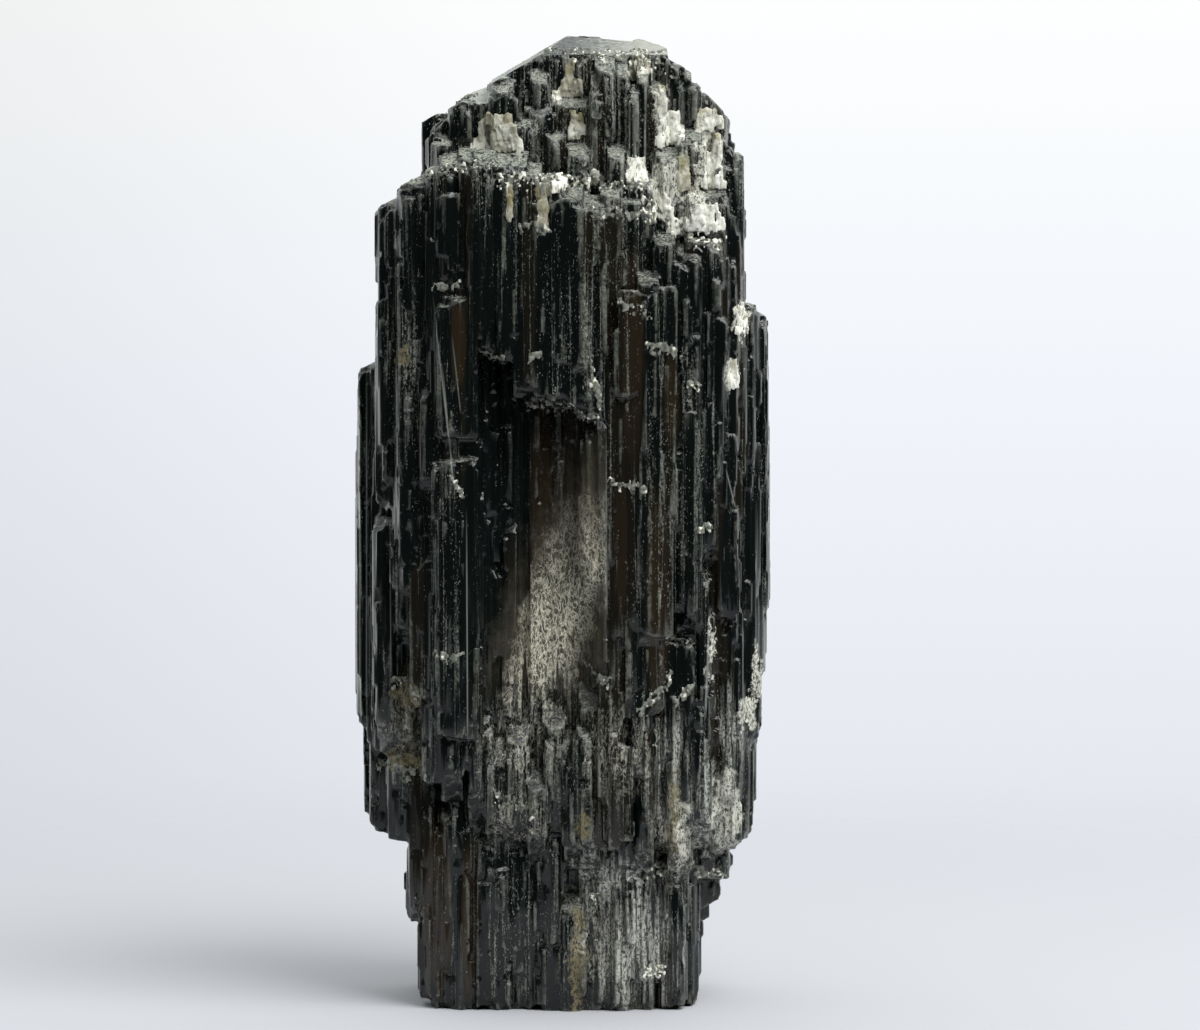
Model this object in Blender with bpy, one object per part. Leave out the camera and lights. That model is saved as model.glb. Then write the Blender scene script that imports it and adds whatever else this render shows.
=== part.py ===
"""A black tourmaline crystal, 44 mm tall: one solid, in metres, +Z up, standing on its cut-off base.

The crystal is a bundle of parallel prisms that grew together side by side. Each prism has its own width,
its own place front to back, and its own top and bottom end, so the whole is stepped at both ends. The
crystal's length runs along Z, its broad face looks towards -Y, and the origin is under the middle of its
bounding box, on the plane of the base.
"""

import math
import random
from collections import namedtuple

import bmesh
import bpy
from mathutils import Vector

MM = 0.001

# Driving dimensions, in millimetres.
HEIGHT = 44.0
WIDTH = 18.9
DEPTH = 14.0

LEFT_SIDE, RIGHT_SIDE = -WIDTH / 2, WIDTH / 2
FRONT_SIDE, BACK_SIDE = -DEPTH / 2, DEPTH / 2
END_RUN = 1.2  # how far the slope of an end reaches in from the side it falls to
DEEPEST_CORNER = 0.6  # the most that a face across a prism's upright edge takes off it
CORNER_SHARES = (0.12, 0.3)  # how much such a face takes off, as a share of the prism's thinner side
CORNER_STRAY = 3  # degrees that such a face may turn from its true angle
LONGEST_RUN = 0.96  # the most of a prism's width that a sloping end may cover
SMALLEST_EDGE = 0.02  # shorter edges, left where several cuts cross at one corner, are closed up
UNEVEN = 0.05  # how far a prism's sides and ends may stray from the sizes listed for it
BELOW_CUT = -1.5  # prisms of the stem start here, below the plane where the base is cut off flat

# Tourmaline's faces. The prism's sides meet at 30 degree steps round the length, and the faces of its
# tip lean by 27 degrees from square to the length. The growth steps lean less, and broken ends lean more.
CORNER_ANGLES = (30, 60)
LEANS = {"face": 27.0, "step": 7.0, "break": 46.0}
TOWARDS = {"left": 180, "right": 0, "front": 270, "back": 90}

# One prism: its sides, its depth range and its height range, in millimetres, then how its ends are cut.
# An end is a list of (way it falls, kind of lean), and an empty list is a square end.
Prism = namedtuple("Prism", "left right front back bottom top tip foot", defaults=((), ()))


def cut(bm, point, normal):
    """Removes what lies on the normal's side of a plane and closes the cut."""
    geometry = list(bm.verts) + list(bm.edges) + list(bm.faces)
    made = bmesh.ops.bisect_plane(
        bm, geom=geometry, plane_co=point, plane_no=normal, clear_outer=True
    )
    edges = [item for item in made["geom_cut"] if isinstance(item, bmesh.types.BMEdge)]
    if edges:
        bmesh.ops.holes_fill(bm, edges=edges, sides=0)


def leaning(azimuth, lean, upwards):
    """The outward normal of an end face that falls away towards an azimuth, both angles in degrees."""
    across = math.sin(math.radians(lean))
    turn = math.radians(azimuth)
    along = math.cos(math.radians(lean)) * (1 if upwards else -1)
    return Vector((across * math.cos(turn), across * math.sin(turn), along))


def cut_corners(bm, prism, rng):
    """Takes the upright edges off a prism with faces at 30 or 60 degrees to its front."""
    smaller = min(prism.right - prism.left, prism.back - prism.front)
    for sign_x, x in ((-1, prism.left), (1, prism.right)):
        for sign_y, y in ((-1, prism.front), (1, prism.back)):
            turn = math.radians(rng.choice(CORNER_ANGLES) + rng.uniform(-CORNER_STRAY, CORNER_STRAY))
            normal = Vector((sign_x * math.cos(turn), sign_y * math.sin(turn), 0))
            depth = min(smaller * rng.uniform(*CORNER_SHARES), DEEPEST_CORNER)
            cut(bm, Vector((x, y, 0)) - normal * depth, normal)


def cut_end(bm, prism, falls, upwards):
    """Cuts one end of a prism. Each plane leaves the prism's length as it is where it is highest."""
    level = prism.top if upwards else prism.bottom
    middle = Vector(((prism.left + prism.right) / 2, (prism.front + prism.back) / 2, level))
    for way, kind in falls:
        # The plane meets the uncut end this far in from the side that it falls to.
        across = prism.right - prism.left if way in ("left", "right") else prism.back - prism.front
        run = LONGEST_RUN * across if kind == "step" else min(END_RUN, LONGEST_RUN * across)
        out = Vector((math.cos(math.radians(TOWARDS[way])), math.sin(math.radians(TOWARDS[way])), 0))
        cut(bm, middle + out * (across / 2 - run), leaning(TOWARDS[way], LEANS[kind], upwards))


def settled(prism, rng):
    """The prism with its sides and ends moved a little, so that no two prisms share a plane by chance.

    What lies on the crystal's own outer limits stays there.
    """
    kept = {"left": LEFT_SIDE, "right": RIGHT_SIDE, "front": FRONT_SIDE, "back": BACK_SIDE, "top": HEIGHT}
    moved = {}
    for side in ("left", "right", "front", "back", "bottom", "top"):
        value = getattr(prism, side)
        moved[side] = value if value == kept.get(side) else value + rng.uniform(-UNEVEN, UNEVEN)
    return prism._replace(**moved)


def prism_object(name, prism, rng):
    """One closed prism as its own object, cut from a block."""
    prism = settled(prism, rng)
    bm = bmesh.new()
    bmesh.ops.create_cube(bm, size=1)
    size = Vector((prism.right - prism.left, prism.back - prism.front, prism.top - prism.bottom))
    middle = Vector((prism.left + prism.right, prism.front + prism.back, prism.bottom + prism.top)) / 2
    bmesh.ops.scale(bm, vec=size, verts=bm.verts)
    bmesh.ops.translate(bm, vec=middle, verts=bm.verts)
    cut_corners(bm, prism, rng)
    cut_end(bm, prism, prism.tip, upwards=True)
    cut_end(bm, prism, prism.foot, upwards=False)
    bmesh.ops.remove_doubles(bm, verts=bm.verts, dist=SMALLEST_EDGE)
    bmesh.ops.recalc_face_normals(bm, faces=bm.faces)
    bmesh.ops.scale(bm, vec=Vector((MM, MM, MM)), verts=bm.verts)
    mesh = bpy.data.meshes.new(name)
    bm.to_mesh(mesh)
    bm.free()
    return bpy.data.objects.new(name, mesh)


def core():
    """The inner mass that every other prism grew against: a stem, a body and a head."""
    return [
        Prism(-5.7, 5.4, -3.9, 3.6, BELOW_CUT, 11.3),
        Prism(-7.0, 6.9, -3.8, 4.4, 8.3, 35.2, tip=[("left", "face"), ("right", "face")]),
        Prism(-5.3, 6.8, -2.8, 5.0, 30.0, 40.3, tip=[("left", "face"), ("right", "face")]),
    ]


def rear_tier():
    """The taller half of the head, set back behind the front one, left to right."""
    steep_left, steep_right = ("left", "break"), ("right", "break")
    easy_left, easy_right = ("left", "face"), ("right", "face")
    level = ("front", "step")
    return [
        Prism(-6.0, -5.0, -3.9, -1.8, 28.0, 40.1, tip=[steep_left]),
        Prism(-5.1, -4.2, -4.3, 3.9, 28.4, 40.9, tip=[easy_left]),
        Prism(-4.3, -3.2, -4.0, 5.6, 29.1, 41.7, tip=[easy_left, level]),
        Prism(-3.3, -2.4, -3.7, 6.1, 29.0, 42.9, tip=[steep_left, level]),
        Prism(-2.5, -1.4, -3.3, 6.4, 28.5, 43.6, tip=[steep_left, level]),
        Prism(-1.5, 1.7, -3.2, 6.6, 29.3, HEIGHT, tip=[level]),
        Prism(1.6, 3.4, -2.9, 6.3, 28.1, 43.9, tip=[level, ("right", "step")]),
        Prism(3.3, 4.7, -3.1, 5.9, 28.8, 43.9, tip=[level, easy_right]),
        Prism(4.6, 5.5, -3.5, 5.2, 29.2, 42.7, tip=[easy_right]),
        Prism(5.4, 6.4, -3.8, 3.9, 28.3, 41.9, tip=[steep_right]),
        Prism(6.3, 7.2, -3.6, 0.2, 27.2, 41.1, tip=[steep_right]),
        Prism(6.7, 7.6, -4.4, -2.3, 25.4, 39.4, tip=[steep_right]),
    ]


def head_steps():
    """Short prisms that climb from the front tier to the rear one, stopped at many heights."""
    falls = ("front", "face")
    return [
        Prism(-5.8, -4.9, -4.9, -2, 30.0, 39.3, tip=[falls]),
        Prism(-3.2, -2.2, -4.4, -2, 30.3, 41.7, tip=[falls]),
        Prism(-2.3, -1.4, -4.9, -2, 29.9, 40.2, tip=[falls]),
        Prism(-1.5, -0.7, -4.1, -2, 31.2, 42.2, tip=[falls]),
        Prism(-0.8, 0.1, -4.8, -2, 30.7, 39.6, tip=[falls]),
        Prism(-0.3, 1.15, -4.2, -2, 31.1, 41.0, tip=[falls]),
        Prism(0.2, 1.2, -5.2, -2, 30.3, 38.9, tip=[falls]),
        Prism(1.45, 2.35, -4.5, -2, 29.8, 42.6, tip=[falls]),
        Prism(1.95, 2.7, -5.5, -2, 30.1, 38.8, tip=[falls]),
        Prism(2.5, 2.95, -4.3, -2, 31.4, 42.4, tip=[falls]),
        Prism(3.0, 3.4, -4.9, -2, 30.6, 41.5, tip=[falls]),
        Prism(3.3, 3.85, -4.4, -2, 31.2, 42.1, tip=[falls]),
        Prism(2.8, 4.05, -5.6, -2, 30.9, 37.5, tip=[falls]),
        Prism(3.95, 4.5, -4.2, -2, 30.8, 41.6, tip=[falls]),
        Prism(4.1, 5.5, -5.1, -2, 30.1, 38.7, tip=[falls]),
        Prism(5.3, 6.2, -4.8, -2, 30.9, 39.6, tip=[falls]),
        Prism(6.0, 7.2, -5.2, -2, 29.4, 37.0, tip=[falls]),
    ]


def front_tier():
    """The outer layer of the broad face, from its shoulder down to where it broke away."""
    falls, snapped = ("front", "face"), ("front", "break")
    return [
        Prism(-7.95, -7.0, -4.6, 1.4, 22.4, 36.6, tip=[("left", "face"), falls], foot=[("right", "break")]),
        Prism(-7.2, -6.0, -5.4, -1, 16.2, 37.5, tip=[("left", "face"), falls], foot=[snapped]),
        Prism(-6.1, -5.3, -5.7, -1, 10.3, 38.0, tip=[("left", "face"), falls]),
        Prism(-5.4, -4.5, -6.0, -1, 9.4, 38.4, tip=[falls], foot=[snapped]),
        Prism(-4.6, -3.9, -5.9, -1, 10.9, 38.6, tip=[falls]),
        Prism(-4.0, -3.0, -6.3, -1, 29.7, 38.5, tip=[falls], foot=[snapped]),
        Prism(-3.1, -2.3, -6.5, -1, 29.2, 38.3, tip=[falls], foot=[snapped]),
        Prism(-2.4, -1.6, -6.3, -1, 29.5, 38.4, tip=[falls], foot=[snapped]),
        Prism(-1.7, -0.9, -6.6, -1, 27.6, 37.9, tip=[falls], foot=[snapped]),
        Prism(-1.0, 0.1, -6.8, -1, 27.1, 37.4, tip=[falls], foot=[snapped]),
        Prism(0.0, 0.9, -6.7, -1, 27.4, 36.9, tip=[falls], foot=[snapped]),
        Prism(0.8, 1.8, -6.6, -1, 26.7, 36.5, tip=[falls], foot=[snapped]),
        Prism(1.7, 2.5, -6.4, -1, 7.3, 37.0, tip=[falls]),
        Prism(2.4, 3.4, -6.7, -1, 16.4, 32.1, tip=[falls], foot=[snapped]),
        Prism(2.6, 3.5, -6.0, -1, 27.0, 36.7, tip=[falls]),
        Prism(3.3, 4.3, FRONT_SIDE, -1, 15.6, 33.1, tip=[falls], foot=[snapped]),
        Prism(4.2, 5.2, -6.5, -1, 23.3, 29.6, tip=[falls], foot=[snapped]),
        Prism(4.1, 5.0, -6.2, -1, 21.4, 34.9, tip=[falls]),
        Prism(5.1, 6.1, -6.1, -1, 16.1, 34.4, tip=[falls], foot=[snapped]),
        Prism(6.0, 6.8, -5.8, -1, 19.3, 34.9, tip=[falls], foot=[snapped]),
        Prism(6.7, 7.45, -5.3, 0, 17.4, 34.5, tip=[falls]),
    ]


def hollow():
    """The smooth inner faces of the long hollow in the middle of the broad face."""
    return [
        Prism(-4.1, -2.9, -5.0, -2, 9.9, 32.0),
        Prism(-3.0, -1.7, -4.7, -2, 8.8, 33.0),
        Prism(-1.8, -0.4, -4.5, -2, 9.2, 32.1),
        Prism(-0.5, 0.9, -4.8, -2, 8.9, 32.6),
        Prism(0.8, 1.9, -5.2, -2, 8.6, 32.2),
        Prism(-5.3, -4.3, -6.4, -3, 25.6, 32.4, tip=[("front", "step")], foot=[("right", "break")]),
    ]


def lower_front():
    """The outer layer below the hollow and down the right-hand side."""
    worn, snapped = ("front", "break"), ("front", "break")
    return [
        Prism(-4.2, -3.3, -5.5, -2, 7.9, 14.1, tip=[worn], foot=[snapped]),
        Prism(-3.4, -2.4, -5.8, -2, 7.4, 12.3, tip=[worn], foot=[snapped]),
        Prism(-2.5, -1.5, -5.5, -2, 7.0, 13.2, tip=[worn], foot=[snapped]),
        Prism(-1.6, -0.8, -5.9, -2, 6.7, 11.2, tip=[worn], foot=[snapped]),
        Prism(-0.9, 0.1, -5.6, -2, 7.2, 13.9, tip=[worn], foot=[snapped]),
        Prism(0.0, 0.8, -5.9, -2, 6.3, 12.1, tip=[worn], foot=[snapped]),
        Prism(0.7, 1.8, -6.0, -2, 5.9, 14.8, tip=[worn], foot=[snapped]),
        Prism(2.4, 3.3, -5.7, -2, 5.5, 18.0, foot=[snapped]),
        Prism(3.2, 4.1, -6.1, -2, 6.1, 17.6, foot=[snapped]),
        Prism(4.0, 4.8, -5.6, -2, 6.9, 21.8, foot=[snapped]),
        Prism(4.7, 5.6, -5.9, -2, 5.9, 16.8, foot=[snapped]),
        Prism(5.5, 6.6, -5.6, -2, 7.2, 20.7, tip=[worn], foot=[snapped]),
        Prism(6.5, 7.5, -5.0, -2, 7.6, 20.2, foot=[snapped]),
    ]


def left_flank():
    """A narrower crystal that grew along the left side, with the slabs that hang below it."""
    steep, easy = ("left", "break"), ("left", "face")
    return [
        Prism(LEFT_SIDE, -6.9, -1.9, -0.4, 12.9, 29.1, tip=[steep], foot=[easy]),
        Prism(-9.15, -6.7, -2.7, -0.1, 11.9, 29.3, tip=[easy], foot=[easy]),
        Prism(-8.8, -6.4, -3.3, 0.7, 11.1, 29.1, tip=[easy], foot=[easy]),
        Prism(-8.2, -6.0, -4.2, 1.0, 10.9, 22.1, foot=[("front", "break"), easy]),
        Prism(-8.55, -6.3, -2.9, 0.4, 7.5, 13.3, foot=[("left", "step")]),
        Prism(-7.9, -5.9, -3.8, 1.8, 7.3, 12.6, foot=[("left", "step")]),
    ]


def right_flank():
    """The crystals along the right side. Their feet climb outwards, so the side tapers to the stem."""
    steep, easy = ("right", "break"), ("right", "face")
    return [
        Prism(6.4, 8.2, -3.9, 0.6, 11.7, 31.9, tip=[("right", "step")]),
        Prism(6.8, 9.25, -2.7, -0.6, 16.6, 31.7, tip=[easy, ("front", "face")], foot=[steep]),
        Prism(7.6, RIGHT_SIDE, -0.9, 0.6, 17.0, 19.7, tip=[steep], foot=[steep]),
        Prism(6.6, 9.05, -3.1, 0.3, 13.6, 23.0, foot=[steep]),
        Prism(6.3, 8.75, -3.6, 0.1, 10.8, 18.5, foot=[steep]),
        Prism(6.1, 8.45, -4.0, 1.4, 8.0, 15.7, foot=[easy]),
        Prism(5.5, 7.95, -4.3, 1.0, 6.8, 13.4, foot=[easy]),
        Prism(4.9, 7.5, -3.9, 1.9, 5.1, 10.2, foot=[easy, ("front", "step")]),
        Prism(4.8, 7.1, -2.6, 1.6, 4.0, 7.7, foot=[easy]),
        Prism(4.7, 6.6, -1.5, 1.3, 3.1, 6.7, foot=[easy]),
    ]


def stem():
    """The narrow lower end, a row of prisms broken off at the base. It draws in a little at the foot."""
    return [
        Prism(-6.55, -5.2, -3.5, -1.4, 2.1, 8.4, tip=[("left", "face")], foot=[("left", "break")]),
        Prism(-6.3, -5.0, -3.9, -0.3, 0.5, 7.8, foot=[("left", "break")]),
        Prism(-6.0, -4.9, -4.2, -2.1, BELOW_CUT, 8.1),
        Prism(-5.2, -4.3, -4.8, 3.6, BELOW_CUT, 10.5),
        Prism(-4.4, -3.4, -4.6, -1, BELOW_CUT, 10.0),
        Prism(-3.5, -2.3, -5.0, -1, BELOW_CUT, 10.3),
        Prism(-2.4, -0.9, -4.7, -1, BELOW_CUT, 9.8),
        Prism(-1.0, -0.1, -5.1, -1, BELOW_CUT, 10.2),
        Prism(-0.2, 0.8, -5.4, -1, BELOW_CUT, 5.1, tip=[("front", "face")]),
        Prism(0.7, 1.9, -5.0, -1, BELOW_CUT, 9.7),
        Prism(1.8, 3.2, -5.3, -1, BELOW_CUT, 8.9),
        Prism(3.1, 4.3, -4.9, -1, BELOW_CUT, 7.7),
        Prism(4.2, 5.2, -4.6, -1, BELOW_CUT, 6.6),
        Prism(5.1, 5.9, -3.7, -2.2, BELOW_CUT, 7.8),
    ]


# The ribs of the sides behind the broad face, in millimetres.
SIDE_RIB_WIDTHS = (0.8, 1.7)
SIDE_RIB_NARROWEST = 0.6
SIDE_RIB_ROOT = 3.4  # how far a rib reaches in from the side
SIDE_RIB_OVERLAP = 0.12
SIDE_STRAY = 0.45  # how far in a rib may stand from its band's reach
SIDE_BOW = 0.05  # how fast the side curves in, per millimetre squared from the middle of the depth


def side_ribs():
    """The two sides behind the broad face: ribs side by side from front to back, in bands of height."""
    rng = random.Random(3)
    bands = (
        # way out, reach, front, back, bottom range, top range
        ("left", -9.3, -0.6, 3.4, (12.9, 17.0), (24.0, 28.9)),
        ("left", -8.6, 0.2, 3.0, (7.7, 10.0), (12.6, 15.0)),
        ("left", -7.9, 0.6, 4.4, (11.2, 13.0), (30.5, 35.8)),
        ("left", -5.9, -2.2, 4.0, (30.0, 34.0), (36.5, 39.9)),
        ("left", -6.0, -3.2, 2.9, (BELOW_CUT, BELOW_CUT), (7.0, 11.0)),
        ("right", 9.2, -0.9, 3.3, (14.8, 19.0), (25.0, 30.6)),
        ("right", 8.3, 0.2, 3.0, (9.4, 11.0), (13.6, 17.0)),
        ("right", 7.6, -3.6, 4.0, (8.4, 15.0), (33.0, 38.3)),
        ("right", 7.0, -1.2, 3.9, (30.0, 35.0), (37.9, 40.9)),
        ("right", 5.8, -3.4, 3.0, (BELOW_CUT, BELOW_CUT), (7.0, 11.0)),
    )
    ribs = []
    for way, reach, front, back, bottoms, tops in bands:
        inward = -1 if reach > 0 else 1
        rooted = bottoms[0] == BELOW_CUT
        y = front
        while y < back - SIDE_RIB_NARROWEST:
            width = min(rng.uniform(*SIDE_RIB_WIDTHS), back - y)
            middle = y + width / 2
            outer = reach + inward * (SIDE_BOW * middle**2 + rng.uniform(0.0, SIDE_STRAY))
            inner = reach + inward * SIDE_RIB_ROOT
            ribs.append(
                Prism(
                    min(outer, inner), max(outer, inner), y, y + width,
                    rng.uniform(*bottoms), rng.uniform(*tops),
                    tip=[(way, rng.choice(("face", "step", "break")))],
                    foot=[] if rooted else [(way, rng.choice(("face", "break")))],
                )
            )
            y += width - SIDE_RIB_OVERLAP
    return ribs


# The ribs of the back, in millimetres.
BACK_RIB_WIDTHS = (1.0, 2.2)
BACK_RIB_NARROWEST = 0.7
BACK_RIB_FRONTS = (0.3, 0.7)  # where the ribs' inner sides lie, well inside the core
BACK_RIB_OVERLAP = 0.1
BACK_STRAY = 0.8  # how far in a rib may stand from the back's own curve
BACK_BOW = 0.047  # how fast the back curves in, per millimetre squared from where it is deepest
DEEPEST_X = 0.4


def back_reach(x):
    """How far back the crystal goes at x: deepest a little right of the middle, less at the sides."""
    return BACK_SIDE - BACK_BOW * (x - DEEPEST_X) ** 2


def back_ribs():
    """The far side: ribs of uneven width, each with its own ends, in three bands of height."""
    rng = random.Random(11)
    bands = (
        # left, right, bottom range, top range, how far the band stands back from the full depth
        (-7.5, 7.3, (7.5, 14.0), (24.0, 33.0), 0.0),
        (-6.3, 6.9, (23.0, 29.0), (36.0, 41.5), 0.7),
        (-5.8, 5.6, (BELOW_CUT, BELOW_CUT), (8.6, 16.0), 1.9),
    )
    ribs = []
    for left, right, bottoms, tops, inset in bands:
        x = left
        while x < right - BACK_RIB_NARROWEST:
            width = min(rng.uniform(*BACK_RIB_WIDTHS), right - x)
            back = back_reach(x + width / 2) - inset - rng.uniform(0.0, BACK_STRAY)
            falls = [("back", rng.choice(("face", "step")))]
            rooted = bottoms[0] == BELOW_CUT
            ribs.append(
                Prism(
                    x, x + width, rng.uniform(*BACK_RIB_FRONTS), back,
                    rng.uniform(*bottoms), rng.uniform(*tops),
                    tip=falls, foot=[] if rooted else [("back", "break")],
                )
            )
            x += width - BACK_RIB_OVERLAP
    ribs.append(Prism(-0.9, 0.9, 1.7, BACK_SIDE, 11.4, 32.3, tip=[("back", "face")], foot=[("back", "break")]))
    return ribs


STONE_COLOUR = (0.008, 0.009, 0.009, 1)  # linear
STONE_ROUGHNESS = 0.25


def tourmaline_material():
    """Black tourmaline: a dark, glassy stone."""
    material = bpy.data.materials.new("tourmaline")
    material.use_nodes = True
    shader = material.node_tree.nodes["Principled BSDF"]
    shader.inputs["Base Color"].default_value = STONE_COLOUR
    shader.inputs["Roughness"].default_value = STONE_ROUGHNESS
    shader.inputs["Metallic"].default_value = 0.0
    return material


def join_modifier(solid, operation, **what):
    """Adds a Boolean to the solid, with Blender's exact solver."""
    modifier = solid.modifiers.new(operation.title(), "BOOLEAN")
    modifier.operation = operation
    modifier.solver = "EXACT"
    for key, value in what.items():
        setattr(modifier, key, value)


def base_cutter():
    """A block whose top face is the plane of the base."""
    bm = bmesh.new()
    bmesh.ops.create_cube(bm, size=1)
    bmesh.ops.scale(bm, vec=Vector((2 * WIDTH, 2 * DEPTH, -4 * BELOW_CUT)) * MM, verts=bm.verts)
    bmesh.ops.translate(bm, vec=Vector((0, 0, 2 * BELOW_CUT * MM)), verts=bm.verts)
    mesh = bpy.data.meshes.new("base_cutter")
    bm.to_mesh(mesh)
    bm.free()
    return bpy.data.objects.new("base_cutter", mesh)


def hide_helper(helper):
    """Keeps a helper out of the model."""
    helper.hide_render = True
    helper.display_type = "WIRE"


def main():
    for old in list(bpy.data.objects):
        bpy.data.objects.remove(old, do_unlink=True)

    rng = random.Random(7)
    front_groups = (core, rear_tier, head_steps, front_tier, hollow, lower_front)
    groups = front_groups + (left_flank, right_flank, stem, side_ribs, back_ribs)
    prisms = [(f"{group.__name__}_{i}", prism) for group in groups for i, prism in enumerate(group())]

    bundle = bpy.data.collections.new("bundle")
    bpy.context.scene.collection.children.link(bundle)
    for name, prism in prisms[1:]:
        helper = prism_object(name, prism, rng)
        hide_helper(helper)
        bundle.objects.link(helper)
    cutter = base_cutter()
    hide_helper(cutter)
    bpy.context.scene.collection.objects.link(cutter)

    crystal = prism_object("tourmaline_crystal", prisms[0][1], rng)
    crystal.data.materials.append(tourmaline_material())
    bpy.context.scene.collection.objects.link(crystal)
    join_modifier(crystal, "UNION", operand_type="COLLECTION", collection=bundle)
    join_modifier(crystal, "DIFFERENCE", object=cutter)


main()
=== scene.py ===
import math
import random

import bmesh
import bpy
import numpy as np
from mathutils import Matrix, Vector, noise
from mathutils.bvhtree import BVHTree
from mathutils.kdtree import KDTree


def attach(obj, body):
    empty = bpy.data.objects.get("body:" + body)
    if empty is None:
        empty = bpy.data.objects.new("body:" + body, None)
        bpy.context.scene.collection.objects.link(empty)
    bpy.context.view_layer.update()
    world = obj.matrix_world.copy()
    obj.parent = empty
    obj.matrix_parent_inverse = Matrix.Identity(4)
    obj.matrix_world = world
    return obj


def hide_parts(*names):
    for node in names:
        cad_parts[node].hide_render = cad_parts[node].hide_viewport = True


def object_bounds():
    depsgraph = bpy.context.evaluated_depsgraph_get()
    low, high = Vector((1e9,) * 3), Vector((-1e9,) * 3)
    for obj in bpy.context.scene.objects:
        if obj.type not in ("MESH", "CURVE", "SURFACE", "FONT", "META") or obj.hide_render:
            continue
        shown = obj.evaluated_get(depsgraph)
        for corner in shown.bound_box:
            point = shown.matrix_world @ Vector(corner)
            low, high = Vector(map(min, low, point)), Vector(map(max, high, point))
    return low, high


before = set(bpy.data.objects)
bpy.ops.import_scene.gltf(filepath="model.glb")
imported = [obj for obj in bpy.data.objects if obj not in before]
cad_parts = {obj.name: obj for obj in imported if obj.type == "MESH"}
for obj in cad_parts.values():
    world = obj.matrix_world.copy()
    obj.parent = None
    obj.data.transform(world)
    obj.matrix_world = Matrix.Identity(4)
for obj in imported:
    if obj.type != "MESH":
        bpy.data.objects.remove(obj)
cad_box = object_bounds()

# ---------------------------------------------------------------------------------------------
# The crystal: black to dark brown tourmaline. It grew as a bundle of parallel prisms, so every
# upright face is ribbed along its length and every end is stepped. It starts from the CAD solid's
# own shape; thinner ribs are grown on its faces, then the skin is chipped, pitted and striated.
# ---------------------------------------------------------------------------------------------

MM = 0.001
SIDE_TURNS = (30, 60)  # a tourmaline prism's side faces meet at these angles, in degrees
TURN_SPREAD = 6
BEVEL_SHARES = (0.08, 0.26)  # of a rib's width
TIP_LEAN = 27.0  # the low faces that close a tourmaline prism lean by this much, in degrees
BREAK_LEAN = 46.0
GROWTH_LEAN = 8.0  # where growth stopped, the end is nearly level
END_SWING = 0.6  # how far to the side a leaning end may face
SAME_STEP = 0.35  # mm; a rib stops where the face under it steps in or out by more than this
MOST_LEAN = 0.3  # the upward share of a face's direction past which no rib grows on it
STRIDE = 0.25  # mm between the places where a rib feels for its end
SHORTEST_SHARE = 0.7  # a rib that finds less than this share of its least length isn't grown
FAR_OUT = 30.0  # mm from the middle, where every ray that feels for the surface starts

cad_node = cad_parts["tourmaline_crystal"]
bm = bmesh.new()
bm.from_mesh(cad_node.data)
bmesh.ops.remove_doubles(bm, verts=bm.verts, dist=1e-7)
bmesh.ops.scale(bm, vec=Vector((1 / MM, 1 / MM, 1 / MM)), verts=bm.verts)
crystal_mesh = bpy.data.meshes.new("tourmaline_skin")
bm.to_mesh(crystal_mesh)
bm.free()
crystal = bpy.data.objects.new("tourmaline_crystal_skin", crystal_mesh)
bpy.context.scene.collection.objects.link(crystal)

low, high = (Vector(corner) / MM for corner in cad_box)
FRONT, BACK = (Vector((0, -1, 0)), Vector((1, 0, 0))), (Vector((0, 1, 0)), Vector((1, 0, 0)))
LEFT, RIGHT = (Vector((-1, 0, 0)), Vector((0, 1, 0))), (Vector((1, 0, 0)), Vector((0, 1, 0)))


def finish_modifiers(thing):
    """Applies every modifier of an object to its mesh."""
    shown = bpy.context.evaluated_depsgraph_get()
    baked = bpy.data.meshes.new_from_object(thing.evaluated_get(shown))
    thing.modifiers.clear()
    thing.data = baked


def join(thing, shapes):
    """Adds many closed shapes to a thing's mesh. They overlap it, and its remesh makes them one skin."""
    whole = bmesh.new()
    whole.from_mesh(thing.data)
    for shape in shapes:
        mesh = bpy.data.meshes.new("shape")
        shape.to_mesh(mesh)
        shape.free()
        whole.from_mesh(mesh)
        bpy.data.meshes.remove(mesh)
    bmesh.ops.recalc_face_normals(whole, faces=whole.faces)
    whole.to_mesh(thing.data)
    whole.free()


def cut(shape, point, normal):
    """Takes off what lies on the normal's side of a plane and closes the cut."""
    geometry = list(shape.verts) + list(shape.edges) + list(shape.faces)
    made = bmesh.ops.bisect_plane(shape, geom=geometry, plane_co=point, plane_no=normal, clear_outer=True)
    rim = [item for item in made["geom_cut"] if isinstance(item, bmesh.types.BMEdge)]
    if rim:
        bmesh.ops.holes_fill(shape, edges=rim, sides=0)


RIB_LEANS = (TIP_LEAN, TIP_LEAN, BREAK_LEAN, GROWTH_LEAN)


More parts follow.
